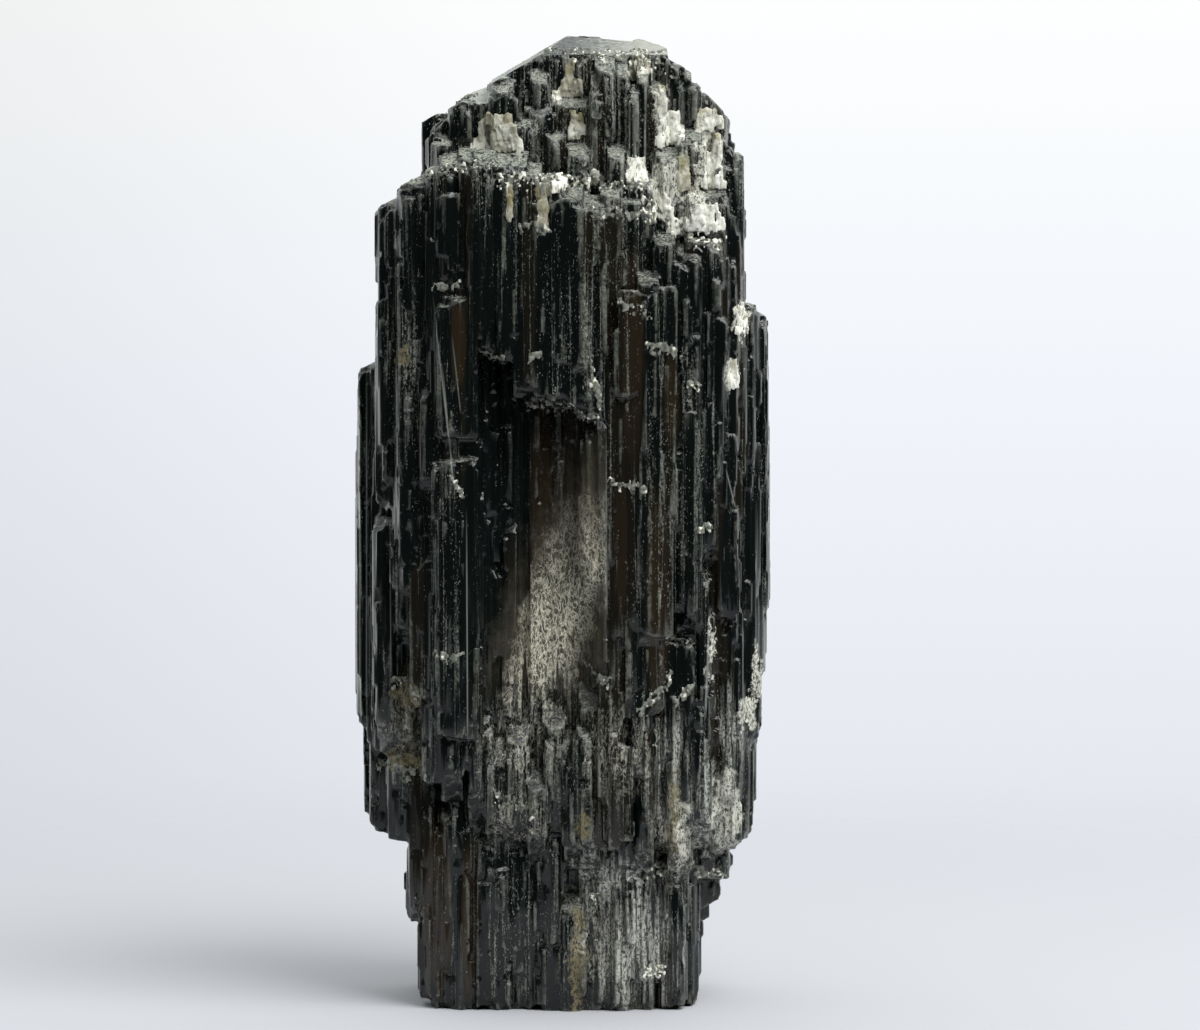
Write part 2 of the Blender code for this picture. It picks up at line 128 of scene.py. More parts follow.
def rib(side, place, depth, width, bottom, top, root, sway, rng, leans=RIB_LEANS):
    """One thin prism on a side of the crystal, with bevelled edges and a leaning end at top and bottom."""
    outwards, across = side
    shape = bmesh.new()
    bmesh.ops.create_cube(shape, size=1)
    middle = (bottom + top) / 2
    for vert in shape.verts:
        x, y, z = vert.co
        vert.co = across * (place + x * width) + outwards * (depth + (y - 0.5) * root)
        vert.co.z = bottom + (z + 0.5) * (top - bottom)
    for way in (-1, 1):
        turn = math.radians(rng.choice(SIDE_TURNS) + rng.uniform(-TURN_SPREAD, TURN_SPREAD))
        normal = across * (way * math.cos(turn)) + outwards * math.sin(turn)
        corner = across * (place + way * width / 2) + outwards * depth
        cut(shape, corner - normal * width * rng.uniform(*BEVEL_SHARES), normal)
    front = across * place + outwards * depth
    for end, level in ((1, top), (-1, bottom)):
        lean = math.radians(rng.choice(leans))
        way = (outwards + across * rng.uniform(-END_SWING, END_SWING)).normalized()
        normal = way * math.sin(lean) + Vector((0, 0, end * math.cos(lean)))
        cut(shape, front + Vector((0, 0, level)) - outwards * width, normal)
    for vert in shape.verts:
        vert.co += across * ((vert.co.z - middle) * sway)
    return shape


def feeler(thing):
    """A search tree of a thing's faces, for feeling where its surface is."""
    shape = bmesh.new()
    shape.from_mesh(thing.data)
    tree = BVHTree.FromBMesh(shape)
    shape.free()
    return tree


def reach_of(faces, side, place, z):
    """How far out the surface is at a place on a side, or None where there is none or it leans."""
    outwards, across = side
    start = across * place + outwards * FAR_OUT + Vector((0, 0, z))
    point, normal, _, _ = faces.ray_cast(start, -outwards)
    return point.dot(outwards) if point is not None and abs(normal.z) < MOST_LEAN else None


def run_of(faces, side, place, middle, length):
    """The surface's reach at a place, and how far down and up it goes on without a step."""
    reach = reach_of(faces, side, place, middle)
    if reach is None:
        return None
    ends = []
    for way in (-1, 1):
        z = middle
        while abs(z - middle) < length / 2:
            ahead = reach_of(faces, side, place, z + way * STRIDE)
            if ahead is None or abs(ahead - reach) > SAME_STEP:
                break
            z += way * STRIDE
        ends.append(z)
    return reach, ends[0], ends[1]


def between(limits, share):
    """A length between two limits, by equal ratios rather than equal steps."""
    return limits[0] * (limits[1] / limits[0]) ** share


def grow(counts, widths, lengths, stands, root, lean, seed):
    """A generation of ribs on all four sides, each of which stays on one step of the face under it."""
    rng = random.Random(seed)
    faces = feeler(crystal)
    shapes = []
    for side, count in zip((FRONT, BACK, LEFT, RIGHT), counts):
        least, most = (low.x, high.x) if side in (FRONT, BACK) else (low.y, high.y)
        for _ in range(count):
            place = rng.uniform(least, most)
            width = between(widths, rng.random())
            length = between(lengths, rng.random())
            stands_out = between(stands, rng.random())
            found = run_of(faces, side, place, rng.uniform(low.z, high.z), length)
            if found is None or found[2] - found[1] < lengths[0] * SHORTEST_SHARE:
                continue
            reach, bottom, top = found
            sway = rng.gauss(0, lean)
            shapes.append(rib(side, place, reach + stands_out, width, bottom, top, root, sway, rng))
    return shapes


# Columns that end over the hollow like a curtain: where each is across, how wide, and where it ends.
CURTAIN = (
    (-3.55, 0.62, 29.5), (-3.0, 0.6, 29.3), (-2.45, 0.55, 29.1), (-1.95, 0.5, 27.5), (-1.5, 0.5, 27.8),
    (-1.1, 0.45, 27.5), (-0.6, 0.55, 27.3), (-0.1, 0.55, 27.45), (0.4, 0.5, 27.2), (0.85, 0.5, 27.0),
    (1.25, 0.45, 26.6), (1.62, 0.4, 26.4),
)
CURTAIN_TOP = 33.0
CURTAIN_ROOT = 1.9  # mm that each column reaches into the crystal
CURTAIN_UNEVEN = (-0.05, 0.08)  # mm in or out
CURTAIN_LEAN = 3.0
rng = random.Random(20)
faces = feeler(crystal)
curtain = []
for place, width, bottom in CURTAIN:
    reach = reach_of(faces, FRONT, place, CURTAIN_TOP) + rng.uniform(*CURTAIN_UNEVEN)
    column = (place, reach, width, bottom, CURTAIN_TOP, CURTAIN_ROOT, 0.0)
    curtain.append(rib(FRONT, *column, rng, (CURTAIN_LEAN,)))
join(crystal, curtain)
RIB_GENERATIONS = (
    # how many at the front, back, left and right, then in mm their widths, lengths, how far they stand
    # out and how deep they are rooted, then how much they sway, and the seed of their random places
    ((170, 150, 90, 90), (0.6, 1.5), (4.0, 20.0), (0.05, 0.28), 1.6, 0.004, 21),
    ((760, 700, 350, 350), (0.3, 0.6), (1.5, 12.0), (0.05, 0.22), 1.0, 0.005, 22),
    ((1000, 900, 450, 450), (0.17, 0.3), (1.0, 9.0), (0.05, 0.13), 0.5, 0.005, 23),
)
for generation in RIB_GENERATIONS:
    join(crystal, grow(*generation))

SKIN_STEP = 0.08  # mm between points of the remeshed skin
SKIN_TRIANGLES = 188_000
remesh = crystal.modifiers.new("skin", "REMESH")
remesh.mode = "VOXEL"
remesh.voxel_size = SKIN_STEP
finish_modifiers(crystal)


def read(items, field, width):
    """One field of a mesh's points or edges as an array, one row each."""
    kind = np.int32 if field == "vertices" else np.float32
    flat = np.zeros(len(items) * width, kind)
    items.foreach_get(field, flat)
    return flat.reshape(-1, width)


def rough(points, scale):
    """Smooth random values between -1 and 1, one for each point, with their own grain along x, y and z."""
    return np.array([noise.noise(p) for p in (points * np.array(scale)).tolist()], np.float32)


def relaxed(values, edges, rounds):
    """Each point's value averaged with its neighbours', several rounds over."""
    count = np.bincount(edges.ravel(), minlength=len(values)).astype(np.float32)[:, None]
    for _ in range(rounds):
        total = np.zeros_like(values)
        for column in range(values.shape[1]):
            total[:, column] = np.bincount(edges[:, 0], values[edges[:, 1], column], len(values))
            total[:, column] += np.bincount(edges[:, 1], values[edges[:, 0], column], len(values))
        values = (values + total) / (1 + count)
    return values


points = read(crystal.data.vertices, "co", 3)
normals = read(crystal.data.vertices, "normal", 3)
edges = read(crystal.data.edges, "vertices", 2)
# How far each point stands out of the skin around it: above 0 on an edge, below 0 in a groove.
stands_proud = ((points - relaxed(points, edges, 3)) * normals).sum(1)

# The head's shoulders are low prism end faces: what stands past each plane is pressed back onto it.
SHOULDERS = (
    # a point on the plane, which way it faces, and the lowest z it touches
    ((4.55, 0.0, 43.3), (0.68, -0.05, 0.73), 40.2),
    ((6.3, 0.0, 41.9), (0.80, -0.05, 0.60), 39.5),
    ((-1.4, 0.0, 43.55), (-0.52, -0.04, 0.85), 41.6),
    ((-4.1, 0.0, 41.2), (-0.50, -0.05, 0.86), 39.9),
    ((0.0, -1.2, 43.75), (0.10, -0.16, 0.98), 42.4),
)
for place_on, faces_to, lowest in SHOULDERS:
    faces_to = np.array(faces_to) / np.linalg.norm(faces_to)
    past = (points - np.array(place_on)) @ faces_to
    pressed = (past > 0) & (points[:, 2] > lowest)
    points[pressed] -= past[pressed, None] * faces_to

# Chips: each presses the points past a small tilted plane back onto it, near an edge that stands proud.
CHIP_SIZES = (0.10, 0.34)  # mm
CHIP_COUNT = 2200
CHIP_DEPTHS = (0.15, 0.4)  # of the chip's size, from its edge to its plane
CHIP_TILT = 0.3
CHIPPED_EDGE = 0.012  # mm that an edge stands proud before it chips
FLANK = 0.8  # the sideways share of a face's direction on the flanks, where most edges stay whole
SPARED_ON_FLANK = 0.8
rng = random.Random(31)
near = KDTree(len(points))
for index, point in enumerate(points.tolist()):
    near.insert(point, index)
near.balance()
proud = np.flatnonzero(stands_proud > CHIPPED_EDGE).tolist()
for _ in range(CHIP_COUNT):
    index = rng.choice(proud)
    if abs(normals[index, 0]) > FLANK and rng.random() < SPARED_ON_FLANK:
        continue
    size = between(CHIP_SIZES, rng.random() ** 1.5)
    tilt = Vector((rng.gauss(0, CHIP_TILT), rng.gauss(0, CHIP_TILT), rng.gauss(0, CHIP_TILT)))
    lean = Vector(normals[index].tolist()) + tilt
    lean.normalize()
    centre = Vector(points[index].tolist()) - lean * size * rng.uniform(*CHIP_DEPTHS)
    inside = np.array([found[1] for found in near.find_range(centre, size)])
    if not len(inside):
        continue
    past = np.maximum((points[inside] - np.array(centre)) @ np.array(lean), 0)
    points[inside] -= past[:, None] * np.array(lean)

# Fine striae: shallow lines that run straight along the crystal, and change at each growth step.
# They are about twice as far apart as the finest real ones, so that they show.
STRIA_SPACING = 0.21  # mm
STRIA_DEPTH = 0.022
PIT_DEPTH = 0.03  # mm, on the faces that look up or down
STEP_HEIGHT = 6.0
upright = 1 - np.abs(normals[:, 2])
step = np.floor(points[:, 2] / STEP_HEIGHT + 1.5 * rough(points, (0.9, 0.9, 0.0)))
striae = rough(np.column_stack((points[:, :2] / STRIA_SPACING, step * 13.7)), (1.0, 1.0, 1.0))
pits = np.abs(rough(points, (2.3, 2.3, 2.0)))
relief = STRIA_DEPTH * striae * upright - PIT_DEPTH * pits * (1 - upright)
points = points + normals * relief[:, None]

OUTER_ZONE = 0.4  # mm; what stands past the crystal's greatest width and depth is pressed into this zone
BASE_LAYER = 0.07  # mm; points this low lie on the flat base
for axis, limit in ((0, high.x), (1, high.y)):
    reach = np.abs(points[:, axis])
    zone = limit - OUTER_ZONE
    share = OUTER_ZONE / (np.percentile(reach, 99.9) - zone)
    pressed = np.where(reach > zone, zone + (reach - zone) * share, reach)
    points[:, axis] = np.sign(points[:, axis]) * pressed
points = np.clip(points, np.array(low), np.array(high))
points[points[:, 2] < BASE_LAYER, 2] = 0
crystal.data.vertices.foreach_set("co", (points * MM).astype(np.float32).ravel())
crystal.data.update()
hollow = relaxed(-stands_proud[:, None], edges, 2)[:, 0]

thin = crystal.modifiers.new("fewer triangles", "DECIMATE")
thin.ratio = SKIN_TRIANGLES / (2 * len(crystal.data.polygons))
finish_modifiers(crystal)
crystal.data.shade_smooth()
crystal.data.set_sharp_from_angle(angle=math.radians(30))

# How deep in a groove or how far out on an edge each point of the skin lies, and how far each face looks
# up, for where the dust settles, and for the painted highlights on edges and painted light on ledges.
GROOVE_DEPTH = 0.016  # mm, at which a groove counts in full
EDGE_HEIGHT = 0.014
near = KDTree(len(points))
for index, point in enumerate((points * MM).tolist()):
    near.insert(point, index)
near.balance()
kept = [near.find(point)[1] for point in read(crystal.data.vertices, "co", 3).tolist()]
for name, values in (("groove", hollow[kept] / GROOVE_DEPTH), ("edge", -hollow[kept] / EDGE_HEIGHT)):
    marks = crystal.data.attributes.new(name, "FLOAT", "POINT")
    marks.data.foreach_set("value", np.clip(values, 0, 1).astype(np.float32))
ledge = crystal.data.attributes.new("ledge", "FLOAT", "FACE")
faces_up = np.clip(read(crystal.data.polygons, "normal", 3)[:, 2], 0, 1)
ledge.data.foreach_set("value", faces_up.astype(np.float32))


def linear(hex_colour):
    """A colour written as sRGB hex, as the linear RGBA that Blender's sockets take."""
    channels = [int(hex_colour[i : i + 2], 16) / 255 for i in (1, 3, 5)]
    curve = [c / 12.92 if c <= 0.04045 else ((c + 0.055) / 1.055) ** 2.4 for c in channels]
    return (*curve, 1.0)


def node(tree, kind, inputs, output=0, **settings):
    """Adds a shader node with its settings, puts a value or a link on each input, and returns one output."""
    made = tree.nodes.new("ShaderNode" + kind)
    for key, value in settings.items():
        setattr(made, key, value)
    for key, value in inputs.items():
        if isinstance(value, bpy.types.NodeSocket):
            tree.links.new(value, made.inputs[key])
        else:
            made.inputs[key].default_value = value
    return made.outputs[output]


def spots(tree, coordinates, places):
    """A mask from 0 to 1: the largest of several soft ellipsoids, each (x, y, z, half sizes along them)."""
    total = 0.0
    for x, y, z, across, deep, tall in places:
        centred = node(
            tree, "Mapping",
            {"Vector": coordinates, "Location": (x, y, z), "Scale": (across, deep, tall)},
            vector_type="TEXTURE",
        )
        ball = node(tree, "TexGradient", {"Vector": centred}, "Fac", gradient_type="SPHERICAL")
        total = node(tree, "Math", {0: total, 1: ball}, operation="MAXIMUM")
    return total


def specks(tree, vector, per_mm, cover, broken):
    """Fine specks, crumbs and painted sparkle, this many to a mm: cover is the share that is there, and
    broken roughens them.
    """
    cells = node(tree, "TexVoronoi", {"Vector": vector, "Scale": per_mm}, "Color")
    middle = node(tree, "TexVoronoi", {"Vector": vector, "Scale": per_mm}, "Distance")
    chance = node(tree, "SeparateColor", {"Color": cells}, "Red")
    paleness = node(tree, "SeparateColor", {"Color": cells}, "Green")
    there = node(tree, "Math", {0: chance, 1: cover}, operation="LESS_THAN")
    dot = node(tree, "MapRange", {0: middle, 1: 0.55, 2: 0.30}, interpolation_type="SMOOTHSTEP")
    paler = node(tree, "Math", {0: paleness, 1: 0.8, 2: 0.2}, operation="MULTIPLY_ADD")
    return all_of(tree, [there, dot, paler, broken])


def past_line(tree, x, z, point, normal, width):
    """A mask that goes from 0 to 1 over a width, across a line in an upright plane, in mm."""
    offset = -(point[0] * normal[0] + point[1] * normal[1]) / width
    over = node(tree, "Math", {0: x, 1: normal[0] / width, 2: offset}, operation="MULTIPLY_ADD")
    both = {0: z, 1: normal[1] / width, 2: over}
    return node(tree, "Math", both, operation="MULTIPLY_ADD", use_clamp=True)


def all_of(tree, masks):
    """The product of several masks."""
    total = masks[0]
    for mask in masks[1:]:
        total = node(tree, "Math", {0: total, 1: mask}, operation="MULTIPLY")
    return total


def any_of(tree, masks):
    """The largest of several masks."""
    total = masks[0]
    for mask in masks[1:]:
        total = node(tree, "Math", {0: total, 1: mask}, operation="MAXIMUM")
    return total


def stroke(tree, x, z, start, end, width):
    """A thin straight line from one point to another in an upright plane, in mm."""
    run, rise = end[0] - start[0], end[1] - start[1]
    length = math.hypot(run, rise)
    ahead, aside = (run / length, rise / length), (rise / length, -run / length)
    near_side = (start[0] - aside[0] * width / 2, start[1] - aside[1] * width / 2)
    far_side = (start[0] + aside[0] * width / 2, start[1] + aside[1] * width / 2)
    soft = width * 0.6
    return all_of(tree, [
        past_line(tree, x, z, near_side, aside, soft),
        past_line(tree, x, z, far_side, (-aside[0], -aside[1]), soft),
        past_line(tree, x, z, start, ahead, length * 0.3),
        past_line(tree, x, z, end, (-ahead[0], -ahead[1]), length * 0.1),
    ])


# Black tourmaline as it grew, unpolished: glassy, so each upright face mirrors the light in long streaks,
# while its ends are dull with crumbs. Dust and altered mineral lie on ledges and in broken lines along
# the ribs, mixed with painted sparkle, highlights, glints and light from above, and a silky film lines the
# hollow. The top facet carries a painted reflection, and the long edges painted highlights.
TOURMALINE_IOR = 1.63
PER_MM = 1 / MM
tourmaline = bpy.data.materials.new("black_tourmaline")
tourmaline.use_nodes = True
tree = tourmaline.node_tree
shader = tree.nodes["Principled BSDF"]
shader.inputs["IOR"].default_value = TOURMALINE_IOR
shader.inputs["Specular IOR Level"].default_value = 0.3
place = node(tree, "TexCoord", {}, "Object")
mm = node(tree, "Mapping", {"Vector": place, "Scale": (PER_MM, PER_MM, PER_MM)})
x_in = node(tree, "SeparateXYZ", {0: mm}, "X")
y_in = node(tree, "SeparateXYZ", {0: mm}, "Y")
z_in = node(tree, "SeparateXYZ", {0: mm}, "Z")

# The same place pushed about by up to 0.75 mm across and 1.7 mm along, for the ragged borders of patches.
wander = node(
    tree, "TexNoise", {"Vector": mm, "Scale": 1.4, "Detail": 4.0, "Roughness": 0.65}, "Color"
)
shift = node(
    tree, "VectorMath",
    {0: wander, 1: (1.5, 1.5, 3.4), 2: (-0.75, -0.75, -1.7)}, operation="MULTIPLY_ADD",
)
ragged = node(tree, "VectorMath", {0: mm, 1: shift}, operation="ADD")
loose_x = node(tree, "SeparateXYZ", {0: ragged}, "X")
loose_z = node(tree, "SeparateXYZ", {0: ragged}, "Z")

# How many of each go to a millimetre. The real grains and hairlines are down to a third as wide; these
# are drawn as coarse as they need to be to show.
GRAINS, CLUMPS, TONES = 11.0, 9.0, 3.2  # crumbs 0.1 mm wide, and larger changes of tone
STREAKS, COLUMNS, SEAMS = 3.4, 0.8, 1.5  # dust in streaks 0.3 mm wide, columns about 1 mm wide
HAIRLINES, FINE_RIBS = 5.0, 7.5  # growth lines 0.1 to 0.2 mm wide
# They are drawn out along the crystal: grains 2 to 1, streaks 11 to 1, ribs and columns 50 to 1.
grain_along = node(tree, "Mapping", {"Vector": mm, "Scale": (1, 1, 0.55)})
along = node(tree, "Mapping", {"Vector": mm, "Scale": (1, 1, 0.09)})
far_along = node(tree, "Mapping", {"Vector": mm, "Scale": (1, 1, 0.02)})
grains = node(
    tree, "TexNoise", {"Vector": grain_along, "Scale": GRAINS, "Detail": 3.0, "Roughness": 0.8}
)
streaks = node(
    tree, "TexNoise", {"Vector": along, "Scale": STREAKS, "Detail": 3.0, "Roughness": 0.65}
)
columns = node(tree, "TexNoise", {"Vector": far_along, "Scale": COLUMNS, "Detail": 1.0})
hairlines = node(tree, "TexNoise", {"Vector": far_along, "Scale": HAIRLINES, "Detail": 1.0})
fine_ribs = node(tree, "TexNoise", {"Vector": far_along, "Scale": FINE_RIBS})
seam_field = node(tree, "TexNoise", {"Vector": far_along, "Scale": SEAMS, "Detail": 1.5})
tone = node(tree, "TexNoise", {"Vector": mm, "Scale": TONES, "Detail": 4.0, "Roughness": 0.75})
clumps = node(tree, "TexNoise", {"Vector": mm, "Scale": CLUMPS, "Detail": 4.0, "Roughness": 0.8})
groove = node(tree, "Attribute", {}, "Fac", attribute_name="groove")
edge = node(tree, "Attribute", {}, "Fac", attribute_name="edge")
ledge = node(tree, "Attribute", {}, "Fac", attribute_name="ledge")

# Body: blue-black, with dark brown columns where less iron lets a little light in. Here and in the lists
# below, each row is one soft ellipsoid: x, y and z of its middle, then half its width, depth and height.
BROWN_COLUMNS = (
    (3.15, -6.5, 29.0, 0.7, 3.0, 7.0),
    (4.8, -6.0, 27.4, 0.6, 3.0, 3.2),
    (-5.6, -4.4, 4.5, 0.9, 3.0, 6.0),
    (-4.2, -4.4, 4.0, 0.6, 3.0, 5.0),
    (-7.0, -4.0, 13.4, 0.7, 3.0, 3.2),
    (-0.9, -4.8, 22.5, 0.8, 2.0, 7.0),
    (4.2, -6.0, 19.0, 0.8, 2.5, 8.0),
    (-4.6, -6.0, 30.0, 0.5, 2.5, 3.0),
    (2.6, -6.0, 21.0, 0.5, 2.5, 5.0),
)
brown_spots = node(
    tree, "Math", {0: streaks, 1: 0.7, 2: spots(tree, mm, BROWN_COLUMNS)}, operation="MULTIPLY_ADD"
)
brown = any_of(tree, [
    node(tree, "MapRange", {0: columns, 1: 0.57, 2: 0.59, 4: 0.45}),
    node(tree, "MapRange", {0: brown_spots, 1: 0.50, 2: 0.78}, interpolation_type="SMOOTHSTEP"),
])
body = node(
    tree, "Mix", {0: brown, 6: linear("#0a100f"), 7: linear("#282117")}, 2, data_type="RGBA"
)

# Where dust is thick: the lower body and foot, the head, and some columns.
DUSTY_ZONES = (
    (0.5, -5.5, 10.5, 7.0, 5.0, 9.0),
    (2.6, -5.5, 2.5, 4.5, 5.0, 6.0),
    (6.5, -4.5, 9.0, 4.0, 5.0, 7.0),
    (3.0, -5.5, 38.0, 7.0, 5.0, 6.5),
    (1.0, -6.2, 31.0, 3.5, 3.0, 6.0),
    (5.0, -5.5, 24.0, 2.5, 4.0, 9.0),
    (-7.2, -4.0, 12.5, 2.2, 4.0, 4.0),
    (-4.9, -6.0, 21.0, 1.1, 3.0, 9.0),
    (-7.0, -5.0, 29.0, 1.2, 3.0, 6.0),
    (-2.0, -5.5, 3.5, 2.8, 4.0, 4.5),
    (0.0, 6.0, 15.0, 8.0, 5.0, 18.0),
    (1.0, 6.0, 36.0, 6.0, 5.0, 6.0),
)
CLEAN_ZONES = (
    (-3.2, -5.5, 22.0, 2.4, 4.0, 12.0),
    (3.1, -5.5, 9.5, 0.6, 3.0, 5.5),
    (-4.5, -5.5, 32.5, 3.0, 4.0, 5.0),
    (7.6, -4.5, 19.0, 1.2, 3.0, 6.0),
    (-8.3, -4.0, 21.0, 0.9, 3.0, 9.0),
)
dusty = node(
    tree, "Math", {0: spots(tree, mm, DUSTY_ZONES), 1: spots(tree, mm, CLEAN_ZONES)},
    operation="SUBTRACT",
)
in_head = node(tree, "MapRange", {0: z_in, 1: 35.5, 2: 38.0, 4: 0.12})
dustier_streaks = node(tree, "Math", {0: dusty, 1: 0.30, 2: streaks}, operation="MULTIPLY_ADD")
dustier_streaks = node(tree, "Math", {0: dustier_streaks, 1: in_head}, operation="ADD")
streaked = node(
    tree, "MapRange", {0: dustier_streaks, 1: 0.48, 2: 0.82}, interpolation_type="SMOOTHSTEP"
)
between_hairlines = node(tree, "MapRange", {0: hairlines, 1: 0.42, 2: 0.60, 3: 0.3, 4: 1.0})
lined = all_of(tree, [streaked, between_hairlines])

# Seams: thin pale lines along the edges of columns that fade in and out, painted glints dotted with crumbs
# of dust.
from_seam = node(tree, "Math", {0: seam_field, 1: 0.5}, operation="SUBTRACT")
from_seam = node(tree, "Math", {0: from_seam}, operation="ABSOLUTE")
seam_glint_line = node(tree, "MapRange", {0: from_seam, 1: 0.014, 2: 0.004})
near_seam = node(tree, "MapRange", {0: from_seam, 1: 0.045, 2: 0.0})
seam_here = node(tree, "MapRange", {0: dustier_streaks, 1: 0.42, 2: 0.70, 3: 0.04, 4: 1.0})
dotted = node(tree, "MapRange", {0: grains, 1: 0.43, 2: 0.54, 3: 0.1, 4: 1.0})
seam_glints = all_of(tree, [seam_glint_line, seam_here, dotted, 0.85])
stripe = node(tree, "MapRange", {0: hairlines, 1: 0.55, 2: 0.62})
stripes_here = node(tree, "MapRange", {0: dustier_streaks, 1: 0.62, 2: 0.86, 4: 0.8})
stripes = all_of(tree, [stripe, stripes_here, dotted])

# Dust and painted light: specks of 0.03 to 0.1 mm in streaks and grooves, partly painted sparkle, lines on
# the edges, partly painted highlights, and crusts on the ledges, partly painted light from above.
FINE_SPECKS, COARSE_SPECKS = 19.0, 9.0  # to a mm
thin_cover = node(tree, "Math", {0: lined, 1: 0.5, 2: 0.004}, operation="MULTIPLY_ADD")
seam_cover = all_of(tree, [near_seam, seam_here, 0.9])
groove_cover = all_of(tree, [groove, streaks, 0.4])
thick_cover = any_of(tree, [groove_cover, seam_cover])
fine_cover = node(tree, "Math", {0: thick_cover, 1: thin_cover}, operation="ADD")
coarse_seams = all_of(tree, [near_seam, seam_here, 0.35])
coarse_cover = node(tree, "Math", {0: lined, 1: 0.09, 2: coarse_seams}, operation="MULTIPLY_ADD")
faint = node(tree, "MapRange", {0: dustier_streaks, 1: 0.40, 2: 0.72, 3: 0.3, 4: 1.0})
faint_or_dotted = all_of(tree, [faint, dotted])
# Pale lines on the edges that stand proud: partly wear, partly painted highlights.
wear_and_sheen = node(tree, "Math", {0: dusty, 1: 0.32, 2: streaks}, operation="MULTIPLY_ADD")
wear_and_sheen = node(tree, "Math", {0: wear_and_sheen, 1: 0.1}, operation="ADD")
lines = node(tree, "MapRange", {0: all_of(tree, [edge, wear_and_sheen]), 1: 0.38, 2: 0.82, 4: 0.5})
# Pale crust on faces that look up: partly dust settled there, partly painted light from above.
on_ledge = node(tree, "Math", {0: clumps, 1: 1.5, 2: ledge}, operation="MULTIPLY_ADD")
crust_and_top_light = node(
    tree, "MapRange", {0: on_ledge, 1: 1.42, 2: 1.82, 4: 0.9}, interpolation_type="SMOOTHSTEP"
)
# The dust and the painted sparkle, highlights, glints and light from above share one pale colour.
dust_and_painted_light = any_of(tree, [
    specks(tree, grain_along, FINE_SPECKS, fine_cover, faint_or_dotted),
    specks(tree, grain_along, COARSE_SPECKS, coarse_cover, faint_or_dotted),
    lines, crust_and_top_light, seam_glints, stripes,
])
crumbly_tone = node(tree, "Mix", {0: 0.5, 2: tone, 3: clumps}, 0)
paler_tone = node(tree, "Math", {0: in_head, 1: 0.5, 2: crumbly_tone}, operation="MULTIPLY_ADD")
dust_and_painted_light_tone = node(tree, "MapRange", {0: paler_tone, 1: 0.40, 2: 0.62})
dust_and_painted_light_colour = node(
    tree, "Mix", {0: dust_and_painted_light_tone, 6: linear("#3a3e37"), 7: linear("#c2c6b8")}, 2, data_type="RGBA"
)
coloured = node(
    tree, "Mix", {0: all_of(tree, [dust_and_painted_light, 0.9]), 6: body, 7: dust_and_painted_light_colour}, 2, data_type="RGBA"
)

# Grey powder, drawn out in streaks, on the right of the foot and of the lower body.
POWDERED_ZONES = (
    (3.2, -5.0, 2.8, 3.2, 4.0, 4.6),
    (6.6, -5.0, 9.0, 2.0, 4.0, 4.5),
    (4.6, -5.0, 11.5, 2.2, 4.0, 3.5),
    (2.0, -5.0, 6.0, 3.5, 4.0, 2.2),
    (7.6, -4.5, 12.5, 1.2, 4.0, 3.5),
)
powdered = spots(tree, mm, POWDERED_ZONES)
powder_streaks = node(tree, "Math", {0: powdered, 1: 0.50, 2: streaks}, operation="MULTIPLY_ADD")
powder_there = node(tree, "MapRange", {0: powder_streaks, 1: 0.66, 2: 0.90, 4: 0.85})
powder_lines = node(tree, "MapRange", {0: hairlines, 1: 0.44, 2: 0.56, 3: 0.15, 4: 1.0})
powder = all_of(tree, [powder_there, powder_lines, dotted])
coloured = node(tree, "Mix", {0: powder, 6: coloured, 7: linear("#d0d2c8")}, 2, data_type="RGBA")

# The top facet: a painted reflection of the pale backdrop, grey and paler to the right.
level = node(tree, "MapRange", {0: ledge, 1: 0.86, 2: 0.94})
high_up = node(tree, "MapRange", {0: z_in, 1: 42.2, 2: 42.6})
to_right = node(tree, "Math", {0: x_in, 1: 0.07, 2: tone}, operation="MULTIPLY_ADD")
facet_reflection_tone = node(tree, "MapRange", {0: to_right, 1: 0.52, 2: 0.78})
facet_reflection_colour = node(
    tree, "Mix", {0: facet_reflection_tone, 6: linear("#22282a"), 7: linear("#a2a297")}, 2, data_type="RGBA"
)
on_facet = all_of(tree, [level, high_up])
coloured = node(tree, "Mix", {0: on_facet, 6: coloured, 7: facet_reflection_colour}, 2, data_type="RGBA")

# Altered mineral, white to khaki, stuck on in patches.
WHITE_PATCHES = (
    (7.9, -4.5, 30.9, 0.5, 2.5, 0.9),
    (7.5, -4.5, 28.5, 0.5, 2.5, 0.8),
    (8.3, -4.0, 13.2, 0.6, 3.0, 0.9),
    (8.7, -4.0, 15.0, 0.35, 3.0, 1.6),
    (7.3, -4.5, 9.0, 0.9, 3.0, 2.8),
    (6.6, -5.0, 16.2, 0.16, 3.0, 2.2),
    (5.3, -5.0, 8.0, 0.4, 3.0, 2.6),
    (4.6, -5.5, 36.8, 0.9, 2.5, 1.8),
    (5.9, -5.5, 36.0, 0.9, 2.5, 1.4),
    (3.4, -5.0, 42.8, 1.1, 3.0, 0.9),
    (6.4, -5.0, 38.5, 0.6, 2.5, 2.0),
    (4.4, -5.0, 40.6, 0.5, 2.5, 1.6),
)
KHAKI_PATCHES = (
    (-7.1, -5.5, 29.4, 0.55, 2.5, 0.5),
    (4.9, -5.5, 9.0, 0.45, 3.0, 2.4),
    (0.9, -5.5, 8.6, 0.4, 3.0, 1.2),
    (0.65, -5.5, 2.4, 0.42, 3.0, 3.6),
    (-7.1, -4.0, 11.0, 1.4, 3.0, 0.6),
    (-6.9, -4.0, 14.2, 1.0, 3.0, 0.9),
    (-0.8, -6.0, 36.0, 0.35, 2.5, 1.3),
    (-2.3, -6.0, 36.5, 0.25, 2.5, 0.7),
)
crumbly = node(tree, "MapRange", {0: grains, 1: 0.42, 2: 0.52, 3: 0.05, 4: 1.0})
